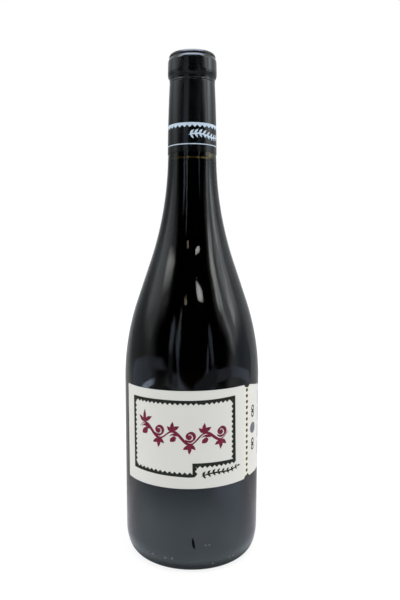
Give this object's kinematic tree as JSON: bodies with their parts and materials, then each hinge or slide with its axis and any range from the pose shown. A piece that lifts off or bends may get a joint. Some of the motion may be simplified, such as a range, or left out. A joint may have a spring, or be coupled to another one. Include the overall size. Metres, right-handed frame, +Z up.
{
  "type": "wine bottle",
  "caption": "Full sloping-shouldered wine bottle of dark glass, closed by a dark capsule over its mouth and wrapped by a wide paper label with a perforated stub.",
  "frame": {"origin": "centre of the base, on the surface the bottle stands on", "axes": "+Z up along the bottle; the middle of the label faces -Y and its stub lies round towards +X"},
  "size_m": [0.0823, 0.0823, 0.2975],
  "materials": {
    "dark_glass": "clear dark olive glass, smooth and glossy",
    "red_wine": "still dark red liquid",
    "capsule_foil": "satin black lacquer with a pale printed band",
    "label_paper": "matt uncoated off-white paper"
  },
  "bodies": {
    "root": {"glass_bottle": "dark_glass", "wine": "red_wine", "capsule": "capsule_foil", "label": "label_paper"}
  },
  "joints": []
}
